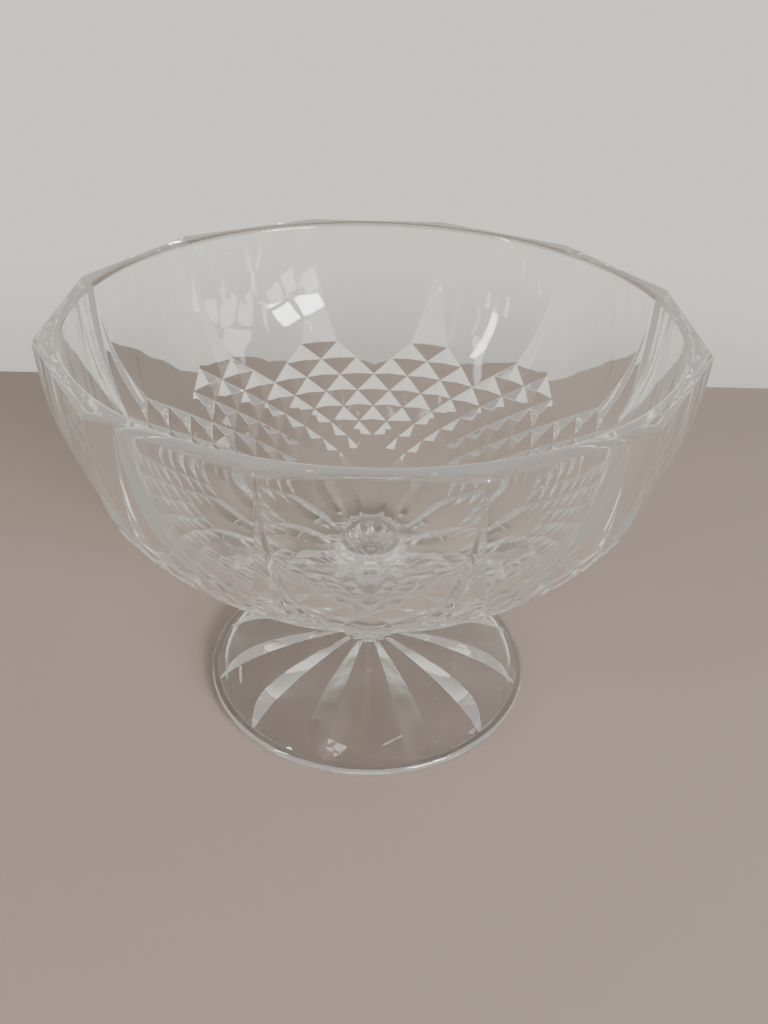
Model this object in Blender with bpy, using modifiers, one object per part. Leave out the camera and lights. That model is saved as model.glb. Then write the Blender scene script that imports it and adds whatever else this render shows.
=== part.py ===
"""Footed glass bowl: pressed glass with twelve arched panels outside, on a short stem and a domed foot.

Metres, +Z up. The origin is on the table plane, under the centre of the foot.
"""

import math

import bmesh
import bpy

# ---- Driving sizes (each one is set by itself) -------------------------------------------------

RIM_RADIUS = 0.112            # over the corners between two panels, at the rim
RIM_HEIGHT = 0.157            # table to rim
BOWL_DEPTH = 0.100            # rim to the underside of the bowl
RIM_WALL = 0.0084             # wall at a corner of the rim
FLOOR_WALL = 0.0084           # glass under the inside bottom, without the collar
COLLAR_DROP = 0.0150          # how far the underside would reach down to a point on the axis
COLLAR_RADIUS = 0.058         # where the underside starts to thicken towards the stem
OUTER_FULLNESS = 2.25         # exponent of the bowl's outer curve; 2 would be an ellipse
INNER_FULLNESS = 2.35         # exponent of the bowl's inner curve
RIM_ROUNDING = 0.0012         # radius of the rim's two edges

PANELS = 12                   # arched panels round the bowl
PANEL_TIP_BELOW_RIM = 0.0665  # rim to the pointed lower end of a panel
SPIKE_BELOW_RIM = 0.0530      # rim to the widest place of the spike between two panels
SPIKE_HALF_ANGLE = 5.0        # degrees, half the spike at its widest

FOOT_RADIUS = 0.066
FOOT_EDGE = 0.0036            # thickness of the foot's rounded edge
FOOT_RISE = 0.0200            # table to the top of the foot's dome, at the stem
FOOT_GLASS = 0.0058           # glass of the dome, measured upright
RING_WIDTH = 0.0048           # flat resting ring under the foot's edge
HOLLOW_CLEARANCE = 0.0012     # least height of the hollow over the table
DOME_FULLNESS = 1.9           # exponent of the dome's curve

FLUTE_LENGTH = 0.046          # leaf-shaped V grooves under the foot
FLUTE_WIDTH = 0.0180
FLUTE_DEPTH = 0.0034
FLUTE_END_MARGIN = 0.0010     # from a flute's pointed end to the resting ring
FLUTE_SKEW = 0.25             # how far towards the rim a flute is widest, as a share of half its length

STEM_TOP_RADIUS = 0.0162
STEM_FOOT_RADIUS = 0.0118
STEM_PINCH = 0.0018           # how much the middle of the stem is drawn in
STEM_FLARE = 3.0              # exponent of the widening towards the bowl
STEM_SIDES = 12

JOINT_GAP = 0.0003            # clearance where two pieces are joined
CUT_CLEARANCE = 0.004         # how far a cutter stands out of the glass

GLASS_COLOUR = (0.97, 0.98, 0.98)
GLASS_IOR = 1.52
POLISHED = 0.02               # roughness of fire-polished glass

# ---- Smoothness of the turned pieces -----------------------------------------------------------

STEPS_PER_PANEL = 4
TURN_STEPS = PANELS * STEPS_PER_PANEL
OUTER_POINTS = 18
INNER_POINTS = 13
ROUNDING_POINTS = 2
DOME_POINTS = 10
WAIST_POINTS = 8
PANEL_POINTS = 12
FLUTE_RINGS = 10
FLUTE_SIDES = 4
MERGE_DISTANCE = 0.00005

PANEL_PITCH = 360.0 / PANELS  # degrees


def collection(name):
    """A new collection in the scene."""
    group = bpy.data.collections.new(name)
    bpy.context.scene.collection.children.link(group)
    return group


def glass(name):
    """Clear polished glass."""
    material = bpy.data.materials.new(name)
    material.use_nodes = True
    shader = material.node_tree.nodes["Principled BSDF"]
    shader.inputs["Base Color"].default_value = (*GLASS_COLOUR, 1.0)
    shader.inputs["Roughness"].default_value = POLISHED
    shader.inputs["Metallic"].default_value = 0.0
    shader.inputs["Transmission Weight"].default_value = 1.0
    shader.inputs["IOR"].default_value = GLASS_IOR
    return material


def full_curve(radius, depth, fullness, turn):
    """Point of a bowl's curve: turn 0 is the bottom centre, turn 1 is the rim. Gives radius and drop."""
    angle = turn * math.pi / 2
    across = radius * math.sin(angle) ** (2 / fullness)
    drop = depth * math.cos(angle) ** (2 / fullness)
    return across, drop


def collar(across):
    """How much lower the underside lies because the glass thickens towards the stem."""
    return COLLAR_DROP * max(1 - across / COLLAR_RADIUS, 0.0) ** 2


def curve_turn(radius, across, fullness):
    """The turn at which a bowl's curve reaches a given radius."""
    return math.asin((across / radius) ** (fullness / 2)) * 2 / math.pi


def outer_radius(height):
    """Radius of the bowl's outer curve at a height."""
    drop = (RIM_HEIGHT - height) / BOWL_DEPTH
    return RIM_RADIUS * (1 - drop ** OUTER_FULLNESS) ** (1 / OUTER_FULLNESS)


def arc(centre, radius, start, end, count):
    """Points of a round edge in the profile plane, from start to end in degrees."""
    points = []
    for i in range(count + 1):
        angle = math.radians(start + (end - start) * i / count)
        points.append((centre[0] + radius * math.cos(angle), centre[1] + radius * math.sin(angle)))
    return points


def turned(name, profile, steps, group, smooth=True):
    """A profile of (radius, height) points, on the axis or closed, turned about Z with a Screw modifier."""
    mesh = bpy.data.meshes.new(name)
    points = [(radius, 0.0, height) for radius, height in profile]
    edges = [(i, i + 1) for i in range(len(points) - 1)]
    mesh.from_pydata(points, edges, [])
    mesh.materials.append(glass(name + "_glass"))
    piece = bpy.data.objects.new(name, mesh)
    group.objects.link(piece)
    screw = piece.modifiers.new("turn", "SCREW")
    screw.axis = "Z"
    screw.angle = math.tau
    screw.steps = steps
    screw.render_steps = steps
    screw.use_merge_vertices = True
    screw.merge_threshold = MERGE_DISTANCE
    screw.use_smooth_shade = smooth
    return piece


def hide_cutter(cutter):
    """Show a cutter as wire only."""
    cutter.display_type = "WIRE"
    cutter.hide_render = True


def cut(piece, cutter):
    """Take a cutter's shape out of a piece."""
    boolean = piece.modifiers.new("cut " + cutter.name, "BOOLEAN")
    boolean.operation = "DIFFERENCE"
    boolean.solver = "EXACT"
    boolean.object = cutter


# ---- Bowl: a thick turned shell, its outside cut to twelve arched panels -----------------------


def bowl_profile():
    """From the inside bottom up to the rim, over its rounded edges, and down the outside to the seat."""
    inner_depth = BOWL_DEPTH - FLOOR_WALL
    inner_rim = RIM_RADIUS - RIM_WALL
    points = []
    for i in range(INNER_POINTS):
        across, drop = full_curve(inner_rim, inner_depth, INNER_FULLNESS, i / INNER_POINTS)
        points.append((across, RIM_HEIGHT - drop))
    top = RIM_HEIGHT - RIM_ROUNDING
    points += arc((inner_rim + RIM_ROUNDING, top), RIM_ROUNDING, 180, 90, ROUNDING_POINTS)
    points += arc((RIM_RADIUS - RIM_ROUNDING, top), RIM_ROUNDING, 90, 0, ROUNDING_POINTS)
    seat_turn = curve_turn(RIM_RADIUS, STEM_TOP_RADIUS, OUTER_FULLNESS)
    for i in range(1, OUTER_POINTS + 1):
        turn = 1 + (seat_turn - 1) * i / OUTER_POINTS
        across, drop = full_curve(RIM_RADIUS, BOWL_DEPTH, OUTER_FULLNESS, turn)
        points.append((across, RIM_HEIGHT - drop - collar(across)))
    points.append((0.0, points[-1][1]))
    return points


def bowl_seat():
    """Height of the flat place under the bowl that the stem joins."""
    return bowl_profile()[-1][1]


def panel_half_angle(height):
    """Half of a panel's width in degrees: a point at the bottom, the spike's edge, all of it at the rim."""
    tip = RIM_HEIGHT - PANEL_TIP_BELOW_RIM
    widest = RIM_HEIGHT - SPIKE_BELOW_RIM
    full = PANEL_PITCH / 2
    if height <= widest:
        return (full - SPIKE_HALF_ANGLE) * (height - tip) / (widest - tip)
    share = (height - widest) / (RIM_HEIGHT - widest)
    return full - SPIKE_HALF_ANGLE * (1 - share) ** 2


def panel_outline():
    """Outline of one panel's cutter: the panel's own curve, then a loop outside the glass."""
    tip = RIM_HEIGHT - PANEL_TIP_BELOW_RIM
    points = []
    for i in range(PANEL_POINTS + 1):
        height = tip + (RIM_HEIGHT - tip) * i / PANEL_POINTS
        flat = math.cos(math.radians(panel_half_angle(height)))
        points.append((outer_radius(height) * flat, height))
    outside = RIM_RADIUS + CUT_CLEARANCE
    points.append((points[-1][0], RIM_HEIGHT + CUT_CLEARANCE))
    points.append((outside, RIM_HEIGHT + CUT_CLEARANCE))
    points.append((outside, tip))
    return points


def panel_cutter_mesh(group):
    """The outline as a flat curve, extruded across the panel and made a mesh."""
    curve = bpy.data.curves.new("panel_outline", "CURVE")
    curve.dimensions = "2D"
    curve.fill_mode = "BOTH"
    curve.extrude = RIM_RADIUS * math.sin(math.radians(PANEL_PITCH / 2)) + CUT_CLEARANCE
    outline = panel_outline()
    spline = curve.splines.new("POLY")
    spline.points.add(len(outline) - 1)
    for point, (across, height) in zip(spline.points, outline):
        point.co = (across, height, 0.0, 1.0)
    spline.use_cyclic_u = True
    holder = bpy.data.objects.new("panel_outline", curve)
    group.objects.link(holder)
    bpy.context.view_layer.update()
    evaluated = holder.evaluated_get(bpy.context.evaluated_depsgraph_get())
    mesh = bpy.data.meshes.new_from_object(evaluated)
    bpy.data.objects.remove(holder)
    shape = bmesh.new()
    shape.from_mesh(mesh)
    bmesh.ops.remove_doubles(shape, verts=shape.verts, dist=MERGE_DISTANCE)
    bmesh.ops.recalc_face_normals(shape, faces=shape.faces)
    shape.to_mesh(mesh)
    shape.free()
    return mesh


def make_bowl(group, cutters):
    """The bowl with its panels cut. A panel faces -Y, and a corner of the rim lies on each side of it."""
    bowl = turned("bowl", bowl_profile(), TURN_STEPS, group)
    mesh = panel_cutter_mesh(cutters)
    for i in range(PANELS):
        cutter = bpy.data.objects.new(f"panel_cutter_{i + 1}", mesh)
        cutter.rotation_euler = (math.pi / 2, 0.0, math.radians(PANEL_PITCH * i) - math.pi / 2)
        cutters.objects.link(cutter)
        hide_cutter(cutter)
        cut(bowl, cutter)
    return bowl


# ---- Foot: a hollow dome on a flat ring, with leaf-shaped V grooves pressed into its underside -


def dome_height(radius):
    """Height of the foot's top surface: steep at the edge, nearly level at the stem."""
    share = min(radius / FOOT_RADIUS, 1.0)
    return FOOT_EDGE + (FOOT_RISE - FOOT_EDGE) * (1 - share ** DOME_FULLNESS)


def hollow_height(radius):
    """Height of the foot's underside over the table."""
    return max(dome_height(radius) - FOOT_GLASS, HOLLOW_CLEARANCE)


def hollow_edge():
    """Inner radius of the resting ring."""
    return FOOT_RADIUS - FOOT_EDGE / 2 - RING_WIDTH


def foot_profile():
    """From the middle of the seat out over the dome, round the edge, and back under to the middle."""
    rounding = FOOT_EDGE / 2
    edge = FOOT_RADIUS - rounding
    points = [(0.0, dome_height(STEM_FOOT_RADIUS))]
    for i in range(DOME_POINTS):
        radius = STEM_FOOT_RADIUS + (edge - STEM_FOOT_RADIUS) * i / DOME_POINTS
        points.append((radius, dome_height(radius)))
    points += arc((edge, rounding), rounding, 90, -90, 2 * ROUNDING_POINTS)
    inner = hollow_edge()
    points.append((inner, 0.0))
    for i in range(DOME_POINTS):
        radius = inner * (1 - i / DOME_POINTS)
        points.append((radius, hollow_height(radius)))
    points.append((0.0, hollow_height(0.0)))
    return points


def foot_seat():
    """Height of the flat place on the foot that the stem joins."""
    return foot_profile()[0][1]


def flute_cutter_mesh():
    """A ball of four sides drawn out along +X to a leaf, its middle line on the foot's underside."""
    shape = bmesh.new()
    bmesh.ops.create_uvsphere(shape, u_segments=FLUTE_SIDES, v_segments=FLUTE_RINGS, radius=1.0)
    middle = hollow_edge() - FLUTE_END_MARGIN - FLUTE_LENGTH / 2
    for vertex in shape.verts:
        across, up, along = vertex.co
        radius = middle + FLUTE_LENGTH / 2 * (along + FLUTE_SKEW * (1 - along ** 2))
        vertex.co = (radius, across * FLUTE_WIDTH / 2, hollow_height(radius) + up * FLUTE_DEPTH)
    bmesh.ops.recalc_face_normals(shape, faces=shape.faces)
    mesh = bpy.data.meshes.new("flute_cutter")
    shape.to_mesh(mesh)
    shape.free()
    return mesh


def make_foot(group, cutters):
    """The foot, with one flute under each corner of the rim."""
    foot = turned("foot", foot_profile(), TURN_STEPS, group)
    mesh = flute_cutter_mesh()
    for i in range(PANELS):
        cutter = bpy.data.objects.new(f"flute_cutter_{i + 1}", mesh)
        cutter.rotation_euler = (0.0, 0.0, math.radians(PANEL_PITCH * (i + 0.5)) - math.pi / 2)
        cutters.objects.link(cutter)
        hide_cutter(cutter)
        cut(foot, cutter)
    return foot


# ---- Stem: a short waisted post with twelve flat sides -----------------------------------------


def stem_profile():
    """From the middle of the top, down the waisted side, to the middle of the bottom."""
    bottom = foot_seat() + JOINT_GAP
    top = bowl_seat() - JOINT_GAP
    points = [(0.0, top)]
    for i in range(WAIST_POINTS + 1):
        share = i / WAIST_POINTS
        flared = STEM_FOOT_RADIUS + (STEM_TOP_RADIUS - STEM_FOOT_RADIUS) * (1 - share) ** STEM_FLARE
        pinch = STEM_PINCH * math.sin(math.pi * share)
        points.append((flared - pinch, top + (bottom - top) * share))
    points.append((0.0, bottom))
    return points


def make_stem(group):
    """The stem between the foot's seat and the bowl's seat."""
    return turned("stem", stem_profile(), STEM_SIDES, group, smooth=False)


def main():
    for old in list(bpy.data.objects):
        bpy.data.objects.remove(old)
    pieces = collection("footed_bowl")
    cutters = collection("cutters")
    make_bowl(pieces, cutters)
    make_stem(pieces)
    make_foot(pieces, cutters)
    bpy.context.view_layer.update()


main()
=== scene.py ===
"""A clear pressed-glass bowl on a short stem and a domed foot, standing on a pale top in soft light.

Metres, +Z up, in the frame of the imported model. The sections follow the order in which the pieces are pressed and
joined: bowl, stem, foot. The table top, the light and the camera come last.
"""

import math

import bmesh
import bpy
from mathutils import Matrix, Vector


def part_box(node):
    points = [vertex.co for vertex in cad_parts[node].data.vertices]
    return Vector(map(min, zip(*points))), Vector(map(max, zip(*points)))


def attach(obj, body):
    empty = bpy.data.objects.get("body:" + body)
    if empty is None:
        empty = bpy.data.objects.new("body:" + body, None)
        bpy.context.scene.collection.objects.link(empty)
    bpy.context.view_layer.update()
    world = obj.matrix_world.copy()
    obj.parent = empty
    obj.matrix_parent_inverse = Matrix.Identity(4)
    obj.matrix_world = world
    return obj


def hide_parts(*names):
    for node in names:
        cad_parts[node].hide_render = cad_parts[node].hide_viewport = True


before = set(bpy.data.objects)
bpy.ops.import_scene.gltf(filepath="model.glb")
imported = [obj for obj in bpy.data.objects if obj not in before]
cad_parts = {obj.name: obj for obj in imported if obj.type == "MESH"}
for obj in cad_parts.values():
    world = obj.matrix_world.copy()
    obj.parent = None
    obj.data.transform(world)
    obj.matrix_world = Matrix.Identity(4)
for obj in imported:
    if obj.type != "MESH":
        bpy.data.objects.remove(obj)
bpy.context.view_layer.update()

# ---- Bowl --------------------------------------------------------------------------------------
# One thick wall of clear glass, pressed between a twelve-sided mould and a smooth round plunger. Outside it has
# arched panels with a V-grooved spike between each two, a band of hollow four-sided diamonds, and smooth petals
# with grooved tails between them. Inside it is plain.

PANELS = 12
PANEL_ANGLE = 360 / PANELS
HALF_PANEL = PANEL_ANGLE / 2
bowl_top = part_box("bowl")[1]
RIM_HEIGHT = bowl_top.z
RIM_RADIUS = bowl_top.x / math.cos(math.radians(HALF_PANEL))
BOWL_DEPTH = 0.100
OUTER_FULLNESS = 2.25        # exponent of the curve; 2 would be an ellipse
RIM_WALL = 0.0084
INNER_DEPTH = 0.0916
INNER_FULLNESS = 2.35
RIM_ROUNDING = 0.0020
SEAT_RADIUS = 0.0162         # where the bowl sits on the stem
COLLAR_DROP = 0.0150         # the glass thickens towards the stem
COLLAR_RADIUS = 0.058
CURVE_STEPS = 720

ARCH_ROWS = 16
RIM_GROOVE = 0.35            # half of a groove at the rim, in degrees
COLUMNS = 3                  # from the middle of a panel to the line between two
COLUMN_ANGLE = 5.0
LEVELS = 9
TOP_LEVEL = 0.0553           # rim to the middle of the first diamond, along the glass
LEVEL_PITCH = 0.00788        # from one row of diamonds to the next
PANEL_END = 3                # the row of diamonds at which a panel comes to its point
PETAL_START = 7              # and the row at which a petal starts
TOP_DIAMOND = 0.0031         # depth of a diamond of the first row
DIAMOND_LOSS = 0.0002        # how much shallower each row below it is
PETAL_ROWS = 12
TAIL_ANGLE = 4.0             # half of a tail's groove at the stem, in degrees
TAIL_BULGE = 4.5             # how much more it has where it is widest
TAIL_SKEW = 0.8              # below 1 the widest place lies nearer to the diamonds
TAIL_END = 0.35              # share of its length over which it runs out
EDGE_WEAR = 0.00022          # rounding of a pressed edge
EDGE_SEGMENTS = 2
ROUNDING_STEPS = 6
INSIDE_ROWS = 40
INSIDE_STEPS = 144

GLASS_TINT = (0.985, 0.992, 0.988)
GLASS_IOR = 1.5
LEAST_ROUGHNESS = 0.03
RUBBED_SIZE = 22.0
RIPPLE_DEPTH = 0.001         # metres of height for a ripple of 1
# colour of the painted glow that the glass gives off where light is trapped in it
TRAPPED_GLOW_COLOUR = (0.80, 0.75, 0.69)
TRAPPED_GLOW_STRENGTH = 0.28            # strength of the painted glow of the glass, the mean brightness of the room
TRAPPED_TURNS = 3.5          # light that has turned more often inside the wall counts as trapped, and there the glass shows the painted glow
TRAPPED_STEPS = 11.5
FLAT_WEIGHT = 80


def bowl_curve(radius, depth, fullness, collar=0.0):
    """The bowl's curve from the rim to the bottom, as (length along it, distance from the axis, height)."""
    points = []
    length = 0.0
    for i in range(CURVE_STEPS + 1):
        angle = math.pi / 2 * (1 - i / CURVE_STEPS)
        across = radius * math.sin(angle) ** (2 / fullness)
        height = RIM_HEIGHT - depth * max(math.cos(angle), 0.0) ** (2 / fullness)
        height -= collar * max(1 - across / COLLAR_RADIUS, 0.0) ** 2
        if points:
            length += math.dist(points[-1][1:], (across, height))
        points.append((length, across, height))
    return points


def walk(curve, length):
    """Place and outward normal on a curve, as (across, height, normal across, normal height)."""
    i = 1
    while i < len(curve) - 1 and curve[i][0] < length:
        i += 1
    before, after = curve[i - 1], curve[i]
    step = after[0] - before[0]
    share = (length - before[0]) / step
    across = before[1] + (after[1] - before[1]) * share
    height = before[2] + (after[2] - before[2]) * share
    return across, height, (before[2] - after[2]) / step, (after[1] - before[1]) / step


def place(across, height, degrees):
    """A point at a distance from the axis, a height and an angle from +X."""
    angle = math.radians(degrees)
    return Vector((across * math.cos(angle), across * math.sin(angle), height))


outer_curve = bowl_curve(RIM_RADIUS, BOWL_DEPTH, OUTER_FULLNESS, COLLAR_DROP)
inner_curve = bowl_curve(RIM_RADIUS - RIM_WALL, INNER_DEPTH, INNER_FULLNESS)
seat_length = next(length for length, across, height in outer_curve if across <= SEAT_RADIUS)
band_end = TOP_LEVEL + (LEVELS - 1) * LEVEL_PITCH


def hollow(level):
    """Depth of the diamonds of this row."""
    return TOP_DIAMOND - DIAMOND_LOSS * (level - 1)


def grooved_row(length, depth, half_width):
    """Half a panel or petal, seen along +X: flat as far as half_width degrees, then one side of the V groove."""
    across, height, out, up = walk(outer_curve, length)
    edge = place(across, height, half_width)
    row = [Vector((edge.x, edge.y * share, edge.z)) for share in (0, 0.5, 1)]
    row.append(place(across - depth * out, height - depth * up, HALF_PANEL))
    return row


def diamond_row(level):
    """Half a panel's part of the band: corners, sunk middles, and the flat of the panel or petal that reaches in."""
    across, height, out, up = walk(outer_curve, TOP_LEVEL + (level - 1) * LEVEL_PITCH)
    depth = hollow(level)
    flat = max(PANEL_END - level, level - PETAL_START)
    row = []
    for column in range(COLUMNS + 1):
        is_middle = (column + level) % 2 == 0 and column > flat
        sunk = depth if is_middle else 0.0
        turn = COLUMN_ANGLE * (max(flat, 0) if column < flat else column)
        point = place(across - sunk * out, height - sunk * up, turn)
        if column < flat:
            point.y *= column / flat
        row.append(point)
    return row


rows = []
kinds = []
for i in range(ARCH_ROWS):
    length = RIM_ROUNDING + (TOP_LEVEL - RIM_ROUNDING) * i / ARCH_ROWS
    fall = 1 - (TOP_LEVEL - length) / (TOP_LEVEL - RIM_ROUNDING)
    half_groove = COLUMN_ANGLE * fall ** 2 + RIM_GROOVE * (1 - fall)
    rows.append(grooved_row(length, TOP_DIAMOND * fall ** 2, HALF_PANEL - half_groove))
    kinds.append("arch")
for level in range(1, LEVELS + 1):
    rows.append(diamond_row(level))
    kinds.append(level)
for i in range(1, PETAL_ROWS + 1):
    length = band_end + (seat_length - band_end) * i / PETAL_ROWS
    fall = 1 - i / PETAL_ROWS
    tail = TAIL_ANGLE + (COLUMN_ANGLE - TAIL_ANGLE) * fall
    tail += TAIL_BULGE * math.sin(math.pi * (1 - fall) ** TAIL_SKEW)
    narrowing = walk(outer_curve, length)[0] / walk(outer_curve, band_end)[0]
    depth = hollow(LEVELS) * tail / COLUMN_ANGLE * narrowing * min(1.0, fall / TAIL_END)
    rows.append(grooved_row(length, depth, HALF_PANEL - tail))
    kinds.append("petal")


def whole_ring(half_row):
    """Half a panel's row, mirrored and turned round the axis into one closed ring. The first panel faces -Y."""
    ring = []
    for panel in range(PANELS):
        turn = Matrix.Rotation(math.radians(PANEL_ANGLE * panel - 90), 4, "Z")
        for column in range(-COLUMNS, COLUMNS):
            point = half_row[abs(column)].copy()
            if column < 0:
                point.y = -point.y
            ring.append(turn @ point)
    return ring


def join_rings(mesh, first, second):
    """Four-sided faces between two rings with as many points."""
    for a in range(len(first)):
        b = (a + 1) % len(first)
        mesh.faces.new((first[a], second[a], second[b], first[b]))


shell = bmesh.new()
rings = [[shell.verts.new(point) for point in whole_ring(row)] for row in rows]
flats = {}                   # the flat of the pattern that each face lies on


def band_flat(corners, panel):
    """The panel or petal that a triangle of the band lies on, or a flat of its own as one side of a diamond."""
    if all(abs(column) <= PANEL_END - level for vertex, column, level in corners):
        return "panel", panel
    if all(abs(column) <= level - PETAL_START for vertex, column, level in corners):
        return "petal", panel
    return "facet", len(flats)


ring_points = PANELS * 2 * COLUMNS
for j in range(len(rings) - 1):
    for i in range(ring_points):
        k = (i + 1) % ring_points
        panel = i // (2 * COLUMNS)
        column = i % (2 * COLUMNS) - COLUMNS
        if kinds[j] == "arch" or kinds[j + 1] == "petal":
            face = shell.faces.new((rings[j][i], rings[j + 1][i], rings[j + 1][k], rings[j][k]))
            in_groove = max(abs(column), abs(column + 1)) == COLUMNS
            if kinds[j] == "arch":
                flats[face] = ("spike", i) if in_groove else ("panel", panel)
            else:
                flats[face] = ("tail", i) if in_groove else ("petal", panel)
            continue
        level = kinds[j]
        left, right = (rings[j][i], column, level), (rings[j][k], column + 1, level)
        low_left, low_right = (rings[j + 1][i], column, level + 1), (rings[j + 1][k], column + 1, level + 1)
        if (column + level) % 2:
            triangles = ((left, low_left, low_right), (left, low_right, right))
        else:
            triangles = ((left, low_left, right), (right, low_left, low_right))
        for corners in triangles:
            face = shell.faces.new([corner[0] for corner in corners])
            flats[face] = band_flat(corners, panel)

worn = []
for edge in shell.edges:
    if len(edge.link_faces) == 2 and flats[edge.link_faces[0]] != flats[edge.link_faces[1]]:
        worn.append(edge)

# the rim: rounded outer edge, flat top, rounded inner edge, and the round inside down to its middle
outer_top = [vertex.co.copy() for vertex in rings[0]]
upper = rings[0]
for i in range(1, ROUNDING_STEPS + 1):
    angle = math.pi / 2 * i / ROUNDING_STEPS
    ring = []
    for point in outer_top:
        inwards = Vector((point.x, point.y, 0)).normalized() * RIM_ROUNDING * (1 - math.cos(angle))
        ring.append(shell.verts.new(point - inwards + Vector((0, 0, RIM_ROUNDING * math.sin(angle)))))
    join_rings(shell, upper, ring)
    upper = ring
outer_loop = [shell.edges.get((upper[a], upper[(a + 1) % ring_points])) for a in range(ring_points)]

inside_rows = []
for i in range(ROUNDING_STEPS + 1):
    angle = math.pi / 2 * (1 - i / ROUNDING_STEPS)
    across = RIM_RADIUS - RIM_WALL + RIM_ROUNDING * (1 - math.cos(angle))
    inside_rows.append((across, RIM_HEIGHT - RIM_ROUNDING * (1 - math.sin(angle))))
inner_length = inner_curve[-1][0]
for i in range(1, INSIDE_ROWS):
    length = RIM_ROUNDING + (inner_length - RIM_ROUNDING) * i / INSIDE_ROWS
    inside_rows.append(walk(inner_curve, length)[:2])
inside = []
for across, height in inside_rows:
    inside.append([shell.verts.new(place(across, height, 360 * a / INSIDE_STEPS)) for a in range(INSIDE_STEPS)])
for above, below in zip(inside, inside[1:]):
    join_rings(shell, above, below)
bottom = shell.verts.new((0, 0, RIM_HEIGHT - INNER_DEPTH))
for a in range(INSIDE_STEPS):
    shell.faces.new((inside[-1][a], inside[-1][(a + 1) % INSIDE_STEPS], bottom))
inner_loop = [shell.edges.get((inside[0][a], inside[0][(a + 1) % INSIDE_STEPS])) for a in range(INSIDE_STEPS)]
bmesh.ops.bridge_loops(shell, edges=outer_loop + inner_loop)

joint = shell.faces.new(rings[-1])
joint.material_index = 1
bmesh.ops.recalc_face_normals(shell, faces=shell.faces)
bmesh.ops.bevel(shell, geom=worn, offset=EDGE_WEAR, offset_type="OFFSET", segments=EDGE_SEGMENTS, profile=0.5,
                affect="EDGES", clamp_overlap=False, loop_slide=True)


def pressed_glass_skin():
    """What a steel mould leaves on glass: slow ripples of the surface, and faint haze where hands and cloths rub."""
    group = bpy.data.node_groups.new("pressed glass skin", "ShaderNodeTree")
    for name in ("Ripple Size", "Ripple Height", "Haze"):
        group.interface.new_socket(name=name, in_out="INPUT", socket_type="NodeSocketFloat")
    for name in ("Height", "Roughness"):
        group.interface.new_socket(name=name, in_out="OUTPUT", socket_type="NodeSocketFloat")
    nodes, links = group.nodes, group.links
    given = nodes.new("NodeGroupInput")
    result = nodes.new("NodeGroupOutput")
    coords = nodes.new("ShaderNodeTexCoord")
    ripple = nodes.new("ShaderNodeTexNoise")
    ripple.inputs["Detail"].default_value = 1.5
    links.new(coords.outputs["Object"], ripple.inputs["Vector"])
    links.new(given.outputs["Ripple Size"], ripple.inputs["Scale"])
    raised = nodes.new("ShaderNodeMath")
    raised.operation = "MULTIPLY"
    links.new(ripple.outputs["Fac"], raised.inputs[0])
    links.new(given.outputs["Ripple Height"], raised.inputs[1])
    links.new(raised.outputs[0], result.inputs["Height"])
    rubbed = nodes.new("ShaderNodeTexNoise")
    rubbed.inputs["Scale"].default_value = RUBBED_SIZE
    rubbed.inputs["Detail"].default_value = 4.0
    links.new(coords.outputs["Object"], rubbed.inputs["Vector"])
    haze = nodes.new("ShaderNodeMapRange")
    haze.inputs["From Min"].default_value = 0.5
    haze.inputs["From Max"].default_value = 0.8
    haze.inputs["To Min"].default_value = LEAST_ROUGHNESS
    links.new(rubbed.outputs["Fac"], haze.inputs["Value"])
    links.new(given.outputs["Haze"], haze.inputs["To Max"])
    links.new(haze.outputs["Result"], result.inputs["Roughness"])
    return group


skin = pressed_glass_skin()


def clear_glass(name, ripple_size, ripple_height, haze):
    """Clear soda glass with a mould's ripples. Where light is trapped in the wall the glass glows in the mean colour
    of the room, a painted glow.
    """
    material = bpy.data.materials.new(name)
    material.use_nodes = True
    nodes, links = material.node_tree.nodes, material.node_tree.links
    shader = nodes["Principled BSDF"]
    shader.inputs["Base Color"].default_value = (*GLASS_TINT, 1)
    shader.inputs["Metallic"].default_value = 0.0
    shader.inputs["Transmission Weight"].default_value = 1.0
    shader.inputs["IOR"].default_value = GLASS_IOR
    surface = nodes.new("ShaderNodeGroup")
    surface.node_tree = skin
    surface.inputs["Ripple Size"].default_value = ripple_size
    surface.inputs["Ripple Height"].default_value = ripple_height
    surface.inputs["Haze"].default_value = haze
    bump = nodes.new("ShaderNodeBump")
    bump.inputs["Strength"].default_value = 1.0
    bump.inputs["Distance"].default_value = RIPPLE_DEPTH
    links.new(surface.outputs["Height"], bump.inputs["Height"])
    links.new(bump.outputs["Normal"], shader.inputs["Normal"])
    links.new(surface.outputs["Roughness"], shader.inputs["Roughness"])
    path = nodes.new("ShaderNodeLightPath")
    trapped = nodes.new("ShaderNodeMath")
    trapped.operation = "MAXIMUM"
    for socket, (count, most) in enumerate((("Glossy Depth", TRAPPED_TURNS), ("Ray Depth", TRAPPED_STEPS))):
        above = nodes.new("ShaderNodeMath")
        above.operation = "GREATER_THAN"
        above.inputs[1].default_value = most
        links.new(path.outputs[count], above.inputs[0])
        links.new(above.outputs[0], trapped.inputs[socket])
    # painted glow: where light is trapped, the glass emits the mean colour of the room though it is no lamp
    painted_glow = nodes.new("ShaderNodeMix")
    painted_glow.data_type = "RGBA"
    factor, nothing, room = painted_glow.inputs[0], painted_glow.inputs[6], painted_glow.inputs[7]
    nothing.default_value = (0, 0, 0, 1)
    room.default_value = (*TRAPPED_GLOW_COLOUR, 1)
    links.new(trapped.outputs[0], factor)
    links.new(painted_glow.outputs[2], shader.inputs["Emission Color"])
    shader.inputs["Emission Strength"].default_value = TRAPPED_GLOW_STRENGTH
    material.cycles.emission_sampling = "NONE"
    return material


# where two pieces were fused hot there is glass on both sides, so nothing shows
fused_joint = bpy.data.materials.new("fused_joint")
fused_joint.use_nodes = True
fused_joint.node_tree.nodes["Principled BSDF"].inputs["Alpha"].default_value = 0.0


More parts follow.
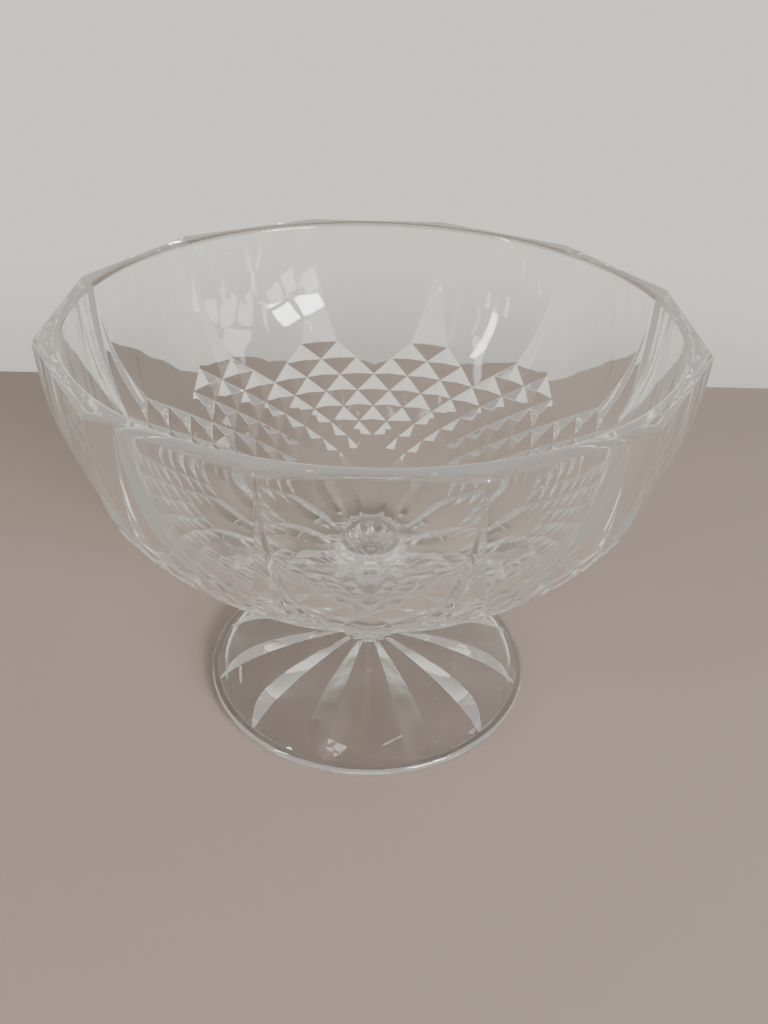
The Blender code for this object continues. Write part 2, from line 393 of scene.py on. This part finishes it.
def glass_piece(mesh, name, node, glass):
    """The finished mesh as an object whose flats stay flat between rounded edges. Its joints are see-through."""
    for face in mesh.faces:
        face.smooth = True
    data = bpy.data.meshes.new(node)
    mesh.to_mesh(data)
    mesh.free()
    piece = bpy.data.objects.new(name, data)
    bpy.context.scene.collection.objects.link(piece)
    piece.data.materials.append(glass)
    piece.data.materials.append(fused_joint)
    weighted = piece.modifiers.new("flat facets", "WEIGHTED_NORMAL")
    weighted.weight = FLAT_WEIGHT
    return piece


bowl_glass = clear_glass("bowl_glass", ripple_size=55.0, ripple_height=0.20, haze=0.07)
bowl = glass_piece(shell, "punch_bowl", "bowl", bowl_glass)
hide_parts("bowl")
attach(bowl, "root")

# ---- Stem --------------------------------------------------------------------------------------
# A short waisted post of the same glass, flared towards the bowl, with twelve upright flutes. It is pressed
# with the foot and fused to the bowl while hot.

foot_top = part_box("foot")[1]
FUSED_GAP = 0.00002
STEM_TOP = rows[-1][0].z - FUSED_GAP
STEM_BOTTOM = foot_top.z + FUSED_GAP
STEM_FOOT_RADIUS = 0.0118
STEM_WAIST_RADIUS = 0.0100
STEM_FLARE = 3               # exponent of the widening towards the bowl
STEM_ROWS = 20
FLUTE_STEPS = 6              # points across one flute
FLUTE_SHARE = 0.10           # depth of a flute, as a share of the stem's radius
CREST_WEAR = 0.0003
CREST_SEGMENTS = 3

post = bmesh.new()
post_rings = []
for i in range(STEM_ROWS + 1):
    share = i / STEM_ROWS
    straight = STEM_FOOT_RADIUS + (SEAT_RADIUS - STEM_FOOT_RADIUS) * (1 - share) ** STEM_FLARE
    pinch = (STEM_FOOT_RADIUS - STEM_WAIST_RADIUS) * math.sin(math.pi * share)
    height = STEM_TOP + (STEM_BOTTOM - STEM_TOP) * share
    ring = []
    for a in range(PANELS * FLUTE_STEPS):
        sunk = FLUTE_SHARE * math.sin(math.pi * (a % FLUTE_STEPS) / FLUTE_STEPS)
        ring.append(post.verts.new(place((straight - pinch) * (1 - sunk), height, PANEL_ANGLE * a / FLUTE_STEPS)))
    post_rings.append(ring)
crests = []
for above, below in zip(post_rings, post_rings[1:]):
    join_rings(post, above, below)
    for a in range(0, len(above), FLUTE_STEPS):
        crests.append(post.edges.get((above[a], below[a])))
for ring in (post_rings[0], post_rings[-1]):
    joint = post.faces.new(ring)
    joint.material_index = 1
bmesh.ops.recalc_face_normals(post, faces=post.faces)
bmesh.ops.bevel(post, geom=crests, offset=CREST_WEAR, offset_type="OFFSET", segments=CREST_SEGMENTS, profile=0.5,
                affect="EDGES", clamp_overlap=False, loop_slide=True)
stem_glass = clear_glass("stem_glass", ripple_size=90.0, ripple_height=0.10, haze=0.06)
stem = glass_piece(post, "fluted_stem", "stem", stem_glass)
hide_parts("stem")
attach(stem, "root")

# ---- Foot --------------------------------------------------------------------------------------
# A hollow dome of the same glass on a flat resting ring. Twelve leaf-shaped V flutes are pressed into its
# underside, one under each groove of the bowl, and they meet in the middle as a star.

FOOT_RADIUS = foot_top.x
FOOT_EDGE = 0.0036           # thickness of the rounded edge
FOOT_RISE = 0.0200           # table to the top of the dome
DOME_FULLNESS = 1.9
DOME_END = 0.0034            # the dome ends this far inside the edge
LIP_START = 0.0026
LIP_RISE = 0.0002
DOME_STEPS = 24
EDGE_STEPS = 8
FOOT_GLASS = 0.0058          # glass of the dome, measured upright
RING_WIDTH = 0.0048          # flat resting ring
HOLLOW_CLEARANCE = 0.0012    # least height of the hollow over the table
FLUTE_TIP = 0.0614           # the flutes run a little way into the resting ring
FLUTE_SPREAD = 0.23          # half width of a flute near the middle, as a share of its distance from the axis
FLUTE_WIDE_START = 0.0440
FLUTE_HALF_WIDTH = 0.0100
FLUTE_LEAST = 0.0002
FLUTE_POINT = 3              # exponent of the leaf's point
FLUTE_BEND = 8               # how sharply its straight sides turn into the point
FLUTE_SLOPE = math.tan(math.radians(25))
FLUTE_SHARES = (-1, -0.5, 0, 0.5, 1)    # points across a flute, from side to side
FLUTE_LINES = (0, 2, 4)      # of those, the two sides and the bottom of the V
REST_SHARES = (0.25, 0.5, 0.75)
FLUTE_WEAR = 0.00015
TIP_STEPS = (0.0, 0.0004, 0.0010)
HOLLOW_STEP = 0.0005         # from the resting ring to the hollow's side
UNDER_STEPS = 34
UNDER_MIDDLE = 0.0016
FOOT_COLUMNS = len(FLUTE_SHARES) + len(REST_SHARES)
foot_steps = PANELS * FOOT_COLUMNS


def dome(radius):
    """Height of the dome's upper side at a distance from the axis."""
    share = min(radius / FOOT_RADIUS, 1)
    return FOOT_EDGE + (FOOT_RISE - FOOT_EDGE) * (1 - share ** DOME_FULLNESS)


def flute_half_width(radius):
    """A leaf: straight sides from the middle, widest three quarters of the way out, then a short point."""
    if radius >= FLUTE_TIP:
        return 0.0
    point = max(radius - FLUTE_WIDE_START, 0.0) / (FLUTE_TIP - FLUTE_WIDE_START)
    wide = FLUTE_HALF_WIDTH * (1 - point ** FLUTE_POINT)
    straight = FLUTE_SPREAD * radius
    return (wide ** -FLUTE_BEND + straight ** -FLUTE_BEND) ** (-1 / FLUTE_BEND)


# upper side: dome, a short lip, and the rounded edge down to the table
profile = []
for i in range(DOME_STEPS + 1):
    radius = STEM_FOOT_RADIUS + (FOOT_RADIUS - DOME_END - STEM_FOOT_RADIUS) * i / DOME_STEPS
    profile.append((radius, dome(radius)))
profile.append((FOOT_RADIUS - LIP_START, FOOT_EDGE + LIP_RISE))
edge_radius = FOOT_EDGE / 2
for i in range(EDGE_STEPS + 1):
    angle = math.radians(90 - 180 * i / EDGE_STEPS)
    profile.append((FOOT_RADIUS - edge_radius + edge_radius * math.cos(angle), edge_radius * (1 + math.sin(angle))))

cup = bmesh.new()
upper_rings = []
turns = [HALF_PANEL - 90 + 360 * (a - FLUTE_LINES[1]) / foot_steps for a in range(foot_steps)]
for radius, height in profile:
    upper_rings.append([cup.verts.new(place(radius, height, turn)) for turn in turns])
for above, below in zip(upper_rings, upper_rings[1:]):
    join_rings(cup, above, below)

# underside: the resting ring with the flutes' points, then the hollow with the flutes up to the middle
ring_inner = FOOT_RADIUS - FOOT_EDGE / 2 - RING_WIDTH
resting = [FLUTE_TIP - step for step in TIP_STEPS] + [ring_inner]
hollow_start = ring_inner - HOLLOW_STEP
under_radii = resting + [hollow_start]
for i in range(1, UNDER_STEPS + 1):
    under_radii.append(hollow_start + (UNDER_MIDDLE - hollow_start) * i / UNDER_STEPS)
flute_edges = []
above = upper_rings[-1]
for n, radius in enumerate(under_radii):
    base = 0.0 if n < len(resting) else max(dome(radius) - FOOT_GLASS, HOLLOW_CLEARANCE)
    half = flute_half_width(radius)
    turn = math.degrees(math.asin(max(half, FLUTE_LEAST) / radius))
    ring = []
    for panel in range(PANELS):
        flute = PANEL_ANGLE * (panel + 0.5) - 90
        for share in FLUTE_SHARES:
            rise = half * FLUTE_SLOPE * (1 - abs(share))
            ring.append(cup.verts.new(place(radius, base + rise, flute + turn * share)))
        for share in REST_SHARES:
            ring.append(cup.verts.new(place(radius, base, flute + turn + (PANEL_ANGLE - 2 * turn) * share)))
    join_rings(cup, above, ring)
    if n:
        for panel in range(PANELS):
            for line in FLUTE_LINES:
                column = panel * FOOT_COLUMNS + line
                flute_edges.append(cup.edges.get((above[column], ring[column])))
    above = ring
middle = cup.verts.new((0, 0, dome(0) - FOOT_GLASS))
for a in range(foot_steps):
    cup.faces.new((above[a], middle, above[(a + 1) % foot_steps]))
joint = cup.faces.new(upper_rings[0])
joint.material_index = 1
bmesh.ops.recalc_face_normals(cup, faces=cup.faces)
bmesh.ops.bevel(cup, geom=flute_edges, offset=FLUTE_WEAR, offset_type="OFFSET", segments=EDGE_SEGMENTS, profile=0.5,
                affect="EDGES", clamp_overlap=True, loop_slide=True)
foot_glass = clear_glass("foot_glass", ripple_size=70.0, ripple_height=0.15, haze=0.07)
foot = glass_piece(cup, "domed_foot", "foot", foot_glass)
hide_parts("foot")
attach(foot, "root")

# ---- Table top ---------------------------------------------------------------------------------
# A plain pale slab with a matt finish. Its far edge shows through the glass as the line between table and wall.

TABLE_WIDTH = 0.798
TABLE_DEPTH = 0.558
TABLE_THICKNESS = 0.03
TABLE_DROP = 0.0001          # a hair under the foot
TABLE_COLOUR = (0.44, 0.345, 0.295)
TABLE_ROUGHNESS = 0.7

bpy.ops.mesh.primitive_cube_add(size=1)
table = bpy.context.active_object
table.name = "table_top"
table.scale = (TABLE_WIDTH, TABLE_DEPTH, TABLE_THICKNESS)
table.location = (0, 0, -TABLE_THICKNESS / 2 - TABLE_DROP)
pale_top = bpy.data.materials.new("pale_top")
pale_top.use_nodes = True
matt = pale_top.node_tree.nodes["Principled BSDF"]
matt.inputs["Base Color"].default_value = (*TABLE_COLOUR, 1)
matt.inputs["Roughness"].default_value = TABLE_ROUGHNESS
table.data.materials.append(pale_top)

# ---- Room --------------------------------------------------------------------------------------
# Plain pale walls, brightest beyond the table, dimmer behind the viewer, towards the ceiling and near the floor.

ROOM_PAINT = (0.80, 0.775, 0.71)

room = bpy.data.worlds.new("room")
bpy.context.scene.world = room
room.use_nodes = True
room_nodes, room_links = room.node_tree.nodes, room.node_tree.links
walls = room_nodes["Background"]
walls.inputs["Color"].default_value = (*ROOM_PAINT, 1)
direction = room_nodes.new("ShaderNodeTexCoord")
axes = room_nodes.new("ShaderNodeSeparateXYZ")
room_links.new(direction.outputs["Generated"], axes.inputs[0])


def brightness(axis, start, end, at_start, at_end):
    """A soft change of brightness along one direction of the room."""
    fade = room_nodes.new("ShaderNodeMapRange")
    fade.interpolation_type = "SMOOTHSTEP"
    fade.inputs["From Min"].default_value = start
    fade.inputs["From Max"].default_value = end
    fade.inputs["To Min"].default_value = at_start
    fade.inputs["To Max"].default_value = at_end
    room_links.new(axes.outputs[axis], fade.inputs["Value"])
    return fade.outputs["Result"]


def product(first, second):
    """Two changes of brightness together."""
    times = room_nodes.new("ShaderNodeMath")
    times.operation = "MULTIPLY"
    room_links.new(first, times.inputs[0])
    room_links.new(second, times.inputs[1])
    return times.outputs[0]


far_wall = brightness("Y", -0.5, 0.6, 0.30, 1.25)
ceiling = brightness("Z", 0.1, 0.9, 1.0, 0.45)
# painted shade: the walls are dimmer just above the floor, where they meet it
floor_line_shade = brightness("Z", -0.46, -0.30, 0.66, 1.0)
room_links.new(product(product(far_wall, ceiling), floor_line_shade), walls.inputs["Strength"])

# ---- Lamps -------------------------------------------------------------------------------------
# A leaning window of four panes behind the viewer's right shoulder, and a tall dim strip on the left.

LAMP_TARGET = Vector((0, 0, 0.1))
WINDOW_DISTANCE = 2.0
WINDOW_SIDE = math.radians(38)
WINDOW_HEIGHT = math.tan(math.radians(13))
WINDOW_LEAN = math.radians(20)
PANE_SIZE = (0.35, 0.37)
PANE_SPACING = (0.22, 0.23)  # from the window's middle to a pane's middle
PANE_POWER = 24.0
STRIP_PLACE = (-1.55, -1.05, 0.75)
STRIP_SIZE = (0.10, 1.3)
STRIP_POWER = 14.0


def area_lamp(name, size, power, location):
    """A soft rectangular lamp that faces the bowl."""
    light = bpy.data.lights.new(name, "AREA")
    light.shape = "RECTANGLE"
    light.size, light.size_y = size
    light.energy = power
    lamp = bpy.data.objects.new(name, light)
    lamp.location = location
    lamp.rotation_euler = (LAMP_TARGET - lamp.location).to_track_quat("-Z", "Y").to_euler()
    bpy.context.scene.collection.objects.link(lamp)
    return lamp


window_middle = Vector((math.sin(WINDOW_SIDE), -math.cos(WINDOW_SIDE), WINDOW_HEIGHT)) * WINDOW_DISTANCE
window_across = Vector((math.cos(WINDOW_SIDE), math.sin(WINDOW_SIDE), 0))
lean = Matrix.Rotation(WINDOW_LEAN, 3, window_middle)
for column in (-1, 1):
    for row in (-1, 1):
        offset = window_across * column * PANE_SPACING[0] + Vector((0, 0, row * PANE_SPACING[1]))
        pane = area_lamp(f"pane_{column}_{row}", PANE_SIZE, PANE_POWER, window_middle + lean @ offset)
        pane.rotation_euler.rotate_axis("Z", WINDOW_LEAN)
area_lamp("side_strip", STRIP_SIZE, STRIP_POWER, STRIP_PLACE)

# ---- Camera ------------------------------------------------------------------------------------
# Held a little above the rim, close to the bowl, and turned down to it.

CAMERA_LENS = 33.64
CAMERA_PLACE = (0, -0.3111, 0.2784)
CAMERA_PAN = -0.0163
CAMERA_DOWN = 0.5782
CAMERA_ROLL = 0.0294

camera_data = bpy.data.cameras.new("camera")
camera_data.lens = CAMERA_LENS
camera = bpy.data.objects.new("camera", camera_data)
pan = Matrix.Rotation(CAMERA_PAN, 4, "Z")
pitch = Matrix.Rotation(math.pi / 2 - CAMERA_DOWN, 4, "X")
roll = Matrix.Rotation(CAMERA_ROLL, 4, "Z")
camera.matrix_world = Matrix.Translation(CAMERA_PLACE) @ pan @ pitch @ roll
bpy.context.scene.collection.objects.link(camera)
bpy.context.scene.camera = camera
